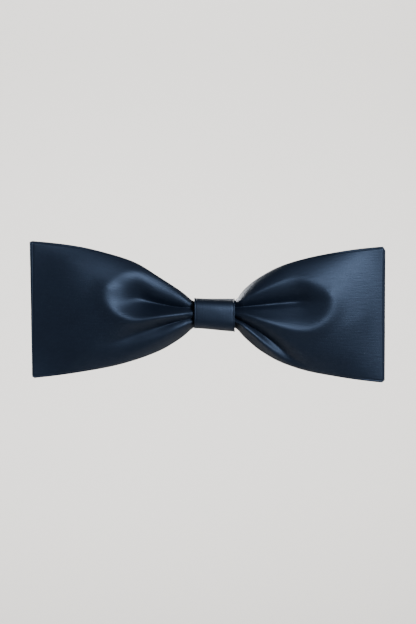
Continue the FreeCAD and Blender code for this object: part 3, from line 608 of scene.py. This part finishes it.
# the batting inside each loop, in millimetres
batting = {"inset": 1.5, "step": 3, "reachShare": 0.955, "leastHalf": 0.2, "seamRoom": 1.7,
           "fromKnot": 0.6}


def makeBatting(side, name):
    w = batting
    rows = frontSettled.shape[0]
    along = frontSettled[:, frontSettled.shape[1] // 2, 0] * side
    limit = bow["reach"][side] * w["reachShare"]
    picked = [i for i in range(0, rows, 2) if w["fromKnot"] < along[i] < limit]
    faces = [settled[picked][:, ::w["step"]].copy() for settled in (frontSettled, backSettled)]
    near, far = faces[0][:, :, 1] + w["inset"], faces[1][:, :, 1] - w["inset"]
    middle, half = (near + far) / 2, np.maximum((far - near) / 2, w["leastHalf"])
    faces[0][:, :, 1], faces[1][:, :, 1] = middle - half, middle + half
    for part in faces:
        centre = part.mean(axis=1, keepdims=True)[:, :, 2]
        rise = part[:, :, 2] - centre
        room = np.abs(rise).max(axis=1, keepdims=True)
        part[:, :, 2] = centre + rise * (room - w["seamRoom"]) / room
    ring = np.concatenate([faces[0], faces[1][:, ::-1]], axis=1)
    r, c = ring.shape[:2]
    quads = []
    for i in range(r - 1):
        for j in range(c):
            a, b = i * c + j, i * c + (j + 1) % c
            quads.append((a, b, b + c, a + c))
    quads.append(tuple(range(c))[::-1])
    quads.append(tuple((r - 1) * c + j for j in range(c)))
    return meshPiece(name, ring.reshape(-1, 3), quads)


def makeWadding():
    finish = Finish("wadding", Roughness=0.95, Specular_IOR_Level=0.1)
    fibres = finish.noise(finish.objectPlace(scale=(1, 4, 1)), 900, 4.0, 0.7)
    finish.feed("Base Color", finish.mixColor(fibres, (0.62, 0.62, 0.6, 1), (0.85, 0.85, 0.83, 1)))
    finish.feed("Normal", finish.bump(fibres, 0.6, 0.0004))
    return finish.material


wadding = makeWadding()
leftBatting = makeBatting(-1, "leftBatting")
rightBatting = makeBatting(1, "rightBatting")
for pad, node in ((leftBatting, "left_batting"), (rightBatting, "right_batting")):
    pad.data.materials.append(wadding)
    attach(pad, "bow")
    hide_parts(node)
print("batting made")

# the knot band: a folded strip of satin, lapped at the back, in millimetres
knot = {
    "width": 25.2, "height": 9.15, "front": -26.9, "back": -6.0, "cloth": 0.75,
    "frontCorner": 5.6, "backCorner": 3.8, "lapStart": 3.5, "lapEnd": -3.0, "lapStep": 0.85,
    "bulge": 1.25, "slant": 0.06, "tilt": 0.05,
    "hem": 0.16, "hemLine": 0.20, "ripple": 0.035, "waist": 0.012,
    "mapShift": 30,     # centimetres, so the band's cloth differs from the panels'
}


def knotPath():
    # (Y, Z) points round the knot: from under the lap, down, forwards, up and back over the lap
    k = knot
    high, near, far = k["height"], k["front"], k["back"]
    rf, rb = k["frontCorner"], k["backCorner"]

    def arc(y, z, radius, first, last):
        angles = np.radians(np.linspace(first, last, 13))
        return [(y + radius * math.cos(t), z + radius * math.sin(t)) for t in angles]

    path = [(far, z) for z in np.linspace(k["lapStart"], -high + rb, 12)]
    path += arc(far - rb, -high + rb, rb, 0, -90)
    path += [(y, -high) for y in np.linspace(far - rb, near + rf, 14)]
    path += arc(near + rf, -high + rf, rf, -90, -180)
    path += [(near, z) for z in np.linspace(-high + rf, high - rf, 16)]
    path += arc(near + rf, high - rf, rf, 180, 90)
    path += [(y, high) for y in np.linspace(near + rf, far - rb, 14)]
    path += arc(far - rb, high - rb, rb, 90, 0)
    path += [(far + k["lapStep"] * float(smoothStep(5.2, 2.6, z)), z)
             for z in np.linspace(high - rb, k["lapEnd"], 18)]
    path = np.array(path)
    keep = np.concatenate([[True], np.linalg.norm(np.diff(path, axis=0), axis=1) > 1e-3])
    path = path[keep]
    length = np.concatenate([[0], np.cumsum(np.linalg.norm(np.diff(path, axis=0), axis=1))])
    even = np.linspace(0, length[-1], 150)
    path = np.stack([np.interp(even, length, path[:, c]) for c in (0, 1)], axis=1)
    for _ in range(3):
        path[1:-1] = (path[:-2] + 2 * path[1:-1] + path[2:]) / 4
    return path, even


def makeKnotBand():
    k = knot
    path, length = knotPath()
    across = fineSteps(k["width"], 0.8, (0, 0.2, 0.45, 0.75, 0.95, 1.1, 1.3, 1.6, 2.1)) - 0.5
    edge = (0.5 - np.abs(across)) * k["width"]
    hem = k["hem"] * smoothStep(0, 0.5, edge) * (1 - smoothStep(0.8, 1.0, edge))
    hem = hem - k["hemLine"] * np.exp(-((edge - 1.1) / 0.16) ** 2)
    tangent = np.gradient(path, axis=0)
    tangent /= np.linalg.norm(tangent, axis=1, keepdims=True)
    out = np.stack([-tangent[:, 1], tangent[:, 0]], axis=1)
    centre = np.array([(k["front"] + k["back"]) / 2, 0])
    if ((path - centre) * out).sum() < 0:
        out = -out
    isFront = smoothStep(-20, -26, path[:, 0])
    crown = isFront * np.clip(1 - (path[:, 1] / k["height"]) ** 2, 0, 1)
    lattice = np.zeros((len(path), len(across), 3))
    for j, share in enumerate(across):
        rounded = 1 - (2 * share) ** 2
        pull = crown * (k["bulge"] * (0.55 + 0.45 * rounded))
        ripple = k["ripple"] * np.sin(length * 0.5 + 4 * share) * np.sin(6 * share + 0.6)
        offset = k["cloth"] / 2 + hem[j] + pull + ripple
        y = path[:, 0] + out[:, 0] * offset
        z = path[:, 1] + out[:, 1] * offset
        z = z * (1 + k["slant"] * 2 * share * smoothStep(1, -1, z))
        z = z - k["tilt"] * share * k["width"] * smoothStep(-12, -20, y)
        waisted = 1 - k["waist"] * crown
        lattice[:, j] = np.stack([share * k["width"] * waisted, y, z], axis=1)
    normal = gridNormals(lattice)
    towards = (normal[:, :, 1] * out[:, None, 0] + normal[:, :, 2] * out[:, None, 1]).mean()
    if towards < 0:
        lattice = lattice[:, ::-1]
    band = shellPiece("knotBand", lattice, k["cloth"])
    mapCloth(band, length / 10, across * k["width"] / 10 + k["mapShift"])
    return band


knotBand = makeKnotBand()
knotBand.data.materials.append(satin)
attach(knotBand, "bow")
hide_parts("knot_band")
print("knot band made")


def makeThread():
    finish = Finish("navyThread", Specular_IOR_Level=0.3, Sheen_Weight=0.15,
                    Sheen_Tint=(0.5, 0.65, 1, 1))
    twist = finish.wave(finish.objectPlace(turn=(0.5, 0.6, 0.7)), 900, "X", 1.0)
    fuzz = finish.noise(finish.objectPlace(), 1500, 3.0, 0.6)
    finish.feed("Base Color", finish.mixColor(twist * 0.6 + fuzz * 0.4, (0.003, 0.007, 0.016, 1),
                                              (0.012, 0.026, 0.055, 1)))
    finish.feed("Roughness", 0.5 + 0.2 * fuzz)
    finish.feed("Normal", finish.bump(twist, 0.6, 0.00008))
    return finish.material


thread = makeThread()
lapStitches = {"count": 13, "spacing": 0.0017, "first": -0.0102, "thread": 0.00019,
               "lap": (-0.00482, -0.0030), "seed": 7}


def makeLapStitches():
    w = lapStitches
    tree = Growth("slipStitches", Count=13, Spacing=0.0017, First=(0.0, 0.0, 0.0), Thread=0.0002,
                  Seed=0)
    loop = tree.add("GeometryNodeCurvePrimitiveBezierSegment", {}, {
        "Resolution": 12, "Start": (-0.0001, -0.00105, -0.0013),
        "Start Handle": (0.0, 0.00015, -0.0011), "End Handle": (0.00045, 0.00060, 0.0004),
        "End": (0.00055, -0.00050, 0.0011)})
    row = tree.add("GeometryNodeMeshLine", {}, {"Count": tree.size("Count"),
                                                "Start Location": tree.size("First"),
                                                "Offset": tree.vector(tree.size("Spacing"))})
    sway = tree.add("FunctionNodeRandomValue", {"data_type": "FLOAT_VECTOR"},
                    {0: (-0.05, -0.16, -0.05), 1: (0.05, 0.16, 0.05), "Seed": tree.size("Seed")})
    stitches = tree.add("GeometryNodeInstanceOnPoints", {},
                        {"Points": row, "Instance": tree.tube(loop, tree.size("Thread")),
                         "Rotation": sway})
    return tree.grow(stitches, "bandStitches", thread, Count=w["count"], Spacing=w["spacing"],
                     First=(w["first"], *w["lap"]), Thread=w["thread"], Seed=w["seed"])


gathering = {"turns": 12.0, "radius": 0.0073, "width": 0.0142, "thread": 0.0003}


def makeGatheringThread():
    w = gathering
    tree = Growth("gatheringTurns", Turns=12.0, Radius=0.007, Width=0.014, Thread=0.0003,
                  Middle=(0.0, 0.0, 0.0))
    coil = tree.add("GeometryNodeCurveSpiral", {}, {
        "Resolution": 40, "Rotations": tree.size("Turns"), "Start Radius": tree.size("Radius"),
        "End Radius": tree.size("Radius"), "Height": tree.size("Width")})
    coil = tree.placed(coil, (0, 0, 0), (0, math.pi / 2, 0))
    coil = tree.placed(tree.tube(coil, tree.size("Thread")), tree.size("Middle"))
    return tree.grow(coil, "gatheringThread", thread, Turns=w["turns"], Radius=w["radius"],
                     Width=w["width"], Thread=w["thread"],
                     Middle=(-w["width"] / 2, bow["middle"] * mm, 0))


tacking = {"reach": 24.0, "plateBack": -3.68, "tilt": 18.12, "edge": 5.32, "behind": 0.3,
           "thread": 0.2, "copies": 3, "step": 0.42, "intoCloth": 0.5, "gap": 0.3, "bend": 0.5,
           "knob": 0.5}


def makeTacking(side, name):
    w = tacking
    near = np.abs(backSettled[:, :, 0] - side * w["reach"]) + np.abs(backSettled[:, :, 2]) * 0.5
    row = np.unravel_index(near.argmin(), near.shape)[0]
    middle = np.abs(backSettled[row, :, 2]) < w["edge"] + 1
    cloth = backSettled[row, middle, 1].min()
    turn = side * math.radians(w["tilt"])
    depth = (w["plateBack"] - cloth + w["intoCloth"]) / math.cos(turn)
    tree = Growth(name + "Loops", Copies=3, Step=0.0004, Depth=0.004, Edge=0.005, Behind=0.0003,
                  Thread=0.0002, Place=(0.0, 0.0, 0.0), Turn=(0.0, 0.0, 0.0))
    depthIn, behind, edge = tree.size("Depth"), tree.size("Behind"), tree.size("Edge")
    gap = w["gap"] * mm
    loops = []
    for way in (-1, 1):
        loop = tree.add("GeometryNodeCurvePrimitiveQuadrilateral", {},
                        {"Width": depthIn + behind, "Height": edge - gap})
        loop = tree.add("GeometryNodeFilletCurve", {}, {"Curve": loop, "Radius": w["bend"] * mm,
                                                        "Limit Radius": True})
        loop = tree.placed(loop, tree.vector(0.0, (behind - depthIn) / 2, way * (edge + gap) / 2),
                           (math.pi / 2, 0, math.pi / 2))
        row = tree.add("GeometryNodeMeshLine", {}, {
            "Count": tree.size("Copies"), "Start Location": tree.vector(tree.size("Step") * -1),
            "Offset": tree.vector(tree.size("Step"))})
        loops.append(tree.add("GeometryNodeInstanceOnPoints", {}, {
            "Points": row, "Instance": tree.tube(loop, tree.size("Thread"))}))
    knob = tree.add("GeometryNodeMeshUVSphere", {},
                    {"Segments": 20, "Rings": 12, "Radius": w["knob"] * mm})
    loops.append(tree.placed(knob, tree.vector(0.0, behind + gap, 0.0), (0, 0, 0),
                             (1.25, 0.8, 0.9)))
    whole = tree.add("GeometryNodeJoinGeometry", {}, {"Geometry": loops})
    whole = tree.placed(whole, tree.size("Place"), tree.size("Turn"))
    return tree.grow(whole, name, thread, Copies=w["copies"], Step=w["step"] * mm, Depth=depth * mm,
                     Edge=w["edge"] * mm, Behind=w["behind"] * mm, Thread=w["thread"] * mm,
                     Place=(side * w["reach"] * mm, w["plateBack"] * mm, 0.0), Turn=(0.0, 0.0, turn))


threadPieces = ((makeLapStitches(), "band_stitches"), (makeGatheringThread(), "gathering_thread"),
                (makeTacking(-1, "leftTacking"), "left_tacking"),
                (makeTacking(1, "rightTacking"), "right_tacking"))
for piece, node in threadPieces:
    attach(piece, "bow")
    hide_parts(node)
print("threads made")

# the stiff lining wrapped round the gathers, and the felt on the plate, in millimetres
lining = {"halfWidth": 11.4, "radius": 7.8, "thick": 0.35, "start": -70, "end": 318,
          "lapRise": 0.42}
felt = {"arcCentre": 67.8, "plateFace": 76.22, "thick": 0.98, "halfLength": 28.9, "halfWidth": 5.95,
        "edgeRound": 0.5, "unevenness": 0.05, "seed": 11}


def makeInterfacing():
    finish = Finish("stiffInterfacing", Roughness=0.8, Specular_IOR_Level=0.2)
    fibres = finish.noise(finish.objectPlace(scale=(1, 3, 3)), 1200, 4.0, 0.7)
    finish.feed("Base Color", finish.mixColor(fibres, (0.010, 0.012, 0.016, 1),
                                              (0.05, 0.055, 0.062, 1)))
    finish.feed("Normal", finish.bump(fibres, 0.5, 0.0001))
    return finish.material


def makeFelt():
    finish = Finish("navyFelt", Roughness=0.95, Specular_IOR_Level=0.12, Sheen_Weight=0.25,
                    Sheen_Roughness=0.6, Sheen_Tint=(0.45, 0.6, 1, 1))
    matted = finish.noise(finish.objectPlace(), 700, 6.0, 0.75)
    strands = finish.noise(finish.objectPlace(scale=(1, 1, 5), turn=(0, 0.6, 0)), 1400, 3.0, 0.6)
    finish.feed("Base Color", finish.mixColor(matted * 0.6 + strands * 0.4,
                                              (0.003, 0.006, 0.013, 1), (0.014, 0.026, 0.052, 1)))
    finish.feed("Normal", finish.bump(strands * 0.5 + matted * 0.5, 0.9, 0.0003))
    return finish.material


def makeKnotLining():
    w = lining
    angles = np.radians(np.linspace(w["start"], w["end"], 110))
    across = np.linspace(-w["halfWidth"], w["halfWidth"], 15)
    turned = np.degrees(angles) - w["start"]
    radius = w["radius"] + w["thick"] + w["lapRise"] * smoothStep(330, 355, turned)
    lattice = np.zeros((len(angles), len(across), 3))
    lattice[:, :, 0] = across[None, :]
    lattice[:, :, 1] = bow["middle"] + (np.cos(angles) * radius)[:, None]
    lattice[:, :, 2] = (np.sin(angles) * radius)[:, None]
    outwards = gridNormals(lattice)[:, :, 1] * np.cos(angles)[:, None]
    if outwards.mean() < 0:
        lattice = lattice[:, ::-1]
    return shellPiece("knotLining", lattice, w["thick"])


def makeFeltBacking():
    w = felt
    edgeSteps = (0, 0.06, 0.16, 0.3, 0.5, 0.8)
    x = fineSteps(2 * w["halfLength"], 0.8, edgeSteps) * 2 * w["halfLength"]
    z = fineSteps(2 * w["halfWidth"], 0.5, edgeSteps) * 2 * w["halfWidth"]
    edgeX = np.minimum(x, x[-1] - x)
    edgeZ = np.minimum(z, z[-1] - z)
    near = np.minimum(edgeX[:, None], edgeZ[None, :])
    r = w["edgeRound"]
    drop = r - np.sqrt(np.clip(r ** 2 - np.clip(r - near, 0, r) ** 2, 0, None))
    uneven = np.random.default_rng(w["seed"]).normal(0, w["unevenness"], near.shape)
    uneven = (uneven + np.roll(uneven, 1, 0) + np.roll(uneven, 1, 1)) / 2
    faces = []
    for radius in (w["plateFace"] + w["thick"] - drop + uneven * (near > 0.2),
                   np.full_like(near, w["plateFace"])):
        angle = np.arcsin((x - w["halfLength"])[:, None] / w["plateFace"]) * np.ones_like(near)
        faces.append(np.stack([radius * np.sin(angle), w["arcCentre"] - radius * np.cos(angle),
                               (z - w["halfWidth"])[None, :] * np.ones_like(near)], axis=2))
    outside, inside = faces
    if gridNormals(outside)[:, :, 1].mean() > 0:
        outside, inside = outside[:, ::-1], inside[:, ::-1]
    return shellPiece("feltBacking", outside, 0, inside)


knotLining, feltBacking = makeKnotLining(), makeFeltBacking()
knotLining.data.materials.append(makeInterfacing())
feltBacking.data.materials.append(makeFelt())
for piece, slotName, node in ((knotLining, "interfacing", "knot_lining"),
                              (feltBacking, "felt", "felt_backing")):
    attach(piece, "bow")
    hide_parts(node)
print("lining and felt made")

metals = {
    "brushedPlate": {"dark": (0.20, 0.195, 0.185, 1), "light": (0.50, 0.49, 0.47, 1), "rough": 0.32,
                     "brush": (0.6, 14, 14), "brushDepth": 0.00002,
                     "nodes": ["base_plate", "clasp_arm", "catch_saddle"]},
    "springStrip": {"dark": (0.14, 0.145, 0.16, 1), "light": (0.36, 0.37, 0.40, 1), "rough": 0.26,
                    "brush": (0.5, 20, 20), "brushDepth": 0.000012,
                    "nodes": ["tension_bar", "upper_catch_leg", "lower_catch_leg"]},
    "pinSteel": {"dark": (0.24, 0.24, 0.25, 1), "light": (0.52, 0.52, 0.54, 1), "rough": 0.22,
                 "brush": (12, 12, 0.8), "brushDepth": 0.00001,
                 "nodes": ["hinge_pin", "catch_rivet"]},
}


def makeMetal(name, w):
    finish = Finish(name, Metallic=1.0)
    streak = finish.noise(finish.objectPlace(scale=w["brush"]), 320, 5.0, 0.6)
    cloud = finish.noise(finish.objectPlace(), 110, 3.0, 0.55)
    scratch = finish.noise(finish.objectPlace(scale=(2, 30, 30), turn=(0, 0.25, 0.3)),
                           150, 2.0, 0.4)
    rubbed = finish.add("ShaderNodeValToRGB", {"stops": [(0.60, (0, 0, 0)), (0.66, (1, 1, 1))]},
                        {"Fac": scratch})
    finish.feed("Base Color", finish.mixColor(streak * 0.55 + cloud * 0.45, w["dark"], w["light"]))
    finish.feed("Roughness", w["rough"] + 0.16 * (streak - 0.5) + 0.18 * (cloud - 0.5)
                + 0.07 * rubbed)
    finish.feed("Normal", finish.bump(streak - 0.25 * rubbed, 0.5, w["brushDepth"]))
    return finish.material


for name, w in metals.items():
    metal = makeMetal(name, w)
    for node in w["nodes"]:
        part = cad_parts[node]
        part.data.materials.clear()
        part.data.materials.append(metal)
print("metals set")

stage = {"floor": -0.55, "wall": 2.8, "bend": 0.9, "halfWidth": 5, "near": -4.0, "top": 3.6,
         "shades": ((0.74, 0.72, 0.69, 1), (0.72, 0.70, 0.67, 1)),
         "world": (0.88, 0.87, 0.86, 1), "worldStrength": 0.22,
         "distance": 1.6, "frameWidth": 0.258, "aim": (-0.004, -0.02, 0.0015), "rise": 2.0,
         "sensor": 36}
lights = {
    "keyLight": {"place": (0.78, -1.34, 0.69), "aim": (0, 0, 0), "size": (0.7, 0.7),
                 "power": 9.6, "spread": 60},
    "fillLight": {"place": (-1.3, -0.9, 0.2), "aim": (0, 0, 0), "size": (1.0, 1.0),
                  "power": 1, "spread": 90},
    "wallLight": {"place": (0.0, 0.9, 2.3), "aim": (0, 2.8, 0.2), "size": (2.4, 0.8),
                  "power": 58, "spread": 80},
    "backLight": {"place": (-0.8, 1.5, 0.7), "aim": (0, 0, 0), "size": (0.9, 0.9),
                  "power": 8, "spread": 60},
}


def makeStage():
    # a pale sweep: the floor, which curves up behind the bow
    finish = Finish("paleSweep", Roughness=0.85, Specular_IOR_Level=0.1)
    finish.feed("Base Color", finish.mixColor(finish.noise(finish.objectPlace(), 3.0),
                                              *stage["shades"]))
    low, far, bend = stage["floor"], stage["wall"], stage["bend"]
    line = [(stage["near"], low), (far - bend, low)]
    line += [(far - bend + bend * math.sin(t), low + bend - bend * math.cos(t))
             for t in np.linspace(0.1, math.pi / 2, 14)]
    line.append((far, stage["top"]))
    points = [(x, y, z) for y, z in line for x in (-stage["halfWidth"], stage["halfWidth"])]
    faces = [(2 * i, 2 * i + 1, 2 * i + 3, 2 * i + 2) for i in range(len(line) - 1)]
    mesh = bpy.data.meshes.new("sweep")
    mesh.from_pydata(points, [], faces)
    mesh.shade_smooth()
    floor = bpy.data.objects.new("sweep", mesh)
    floor.data.materials.append(finish.material)
    bpy.context.scene.collection.objects.link(floor)
    world = bpy.data.worlds.new("studio")
    bpy.context.scene.world = world
    world.use_nodes = True
    sky = world.node_tree.nodes["Background"].inputs
    sky["Color"].default_value = stage["world"]
    sky["Strength"].default_value = stage["worldStrength"]


def areaLight(name, w):
    lamp = bpy.data.lights.new(name, "AREA")
    lamp.shape = "RECTANGLE"
    lamp.size, lamp.size_y = w["size"]
    lamp.energy = w["power"]
    lamp.spread = math.radians(w["spread"])
    light = bpy.data.objects.new(name, lamp)
    light.location = w["place"]
    towards = Vector(w["aim"]) - Vector(w["place"])
    light.rotation_euler = towards.to_track_quat("-Z", "Y").to_euler()
    bpy.context.scene.collection.objects.link(light)


def makeCamera():
    aim = Vector(stage["aim"])
    rise = math.radians(stage["rise"])
    away = Vector((0, -math.cos(rise), math.sin(rise)))
    lens = bpy.data.cameras.new("camera")
    camera = bpy.data.objects.new("camera", lens)
    camera.location = aim + away * stage["distance"]
    camera.rotation_euler = (aim - camera.location).to_track_quat("-Z", "Y").to_euler()
    lens.sensor_fit = "HORIZONTAL"
    lens.sensor_width = stage["sensor"]
    lens.lens = stage["sensor"] * stage["distance"] / stage["frameWidth"]
    bpy.context.scene.collection.objects.link(camera)
    bpy.context.scene.camera = camera


makeStage()
for name, w in lights.items():
    areaLight(name, w)
makeCamera()
print("stage, lights and camera set")
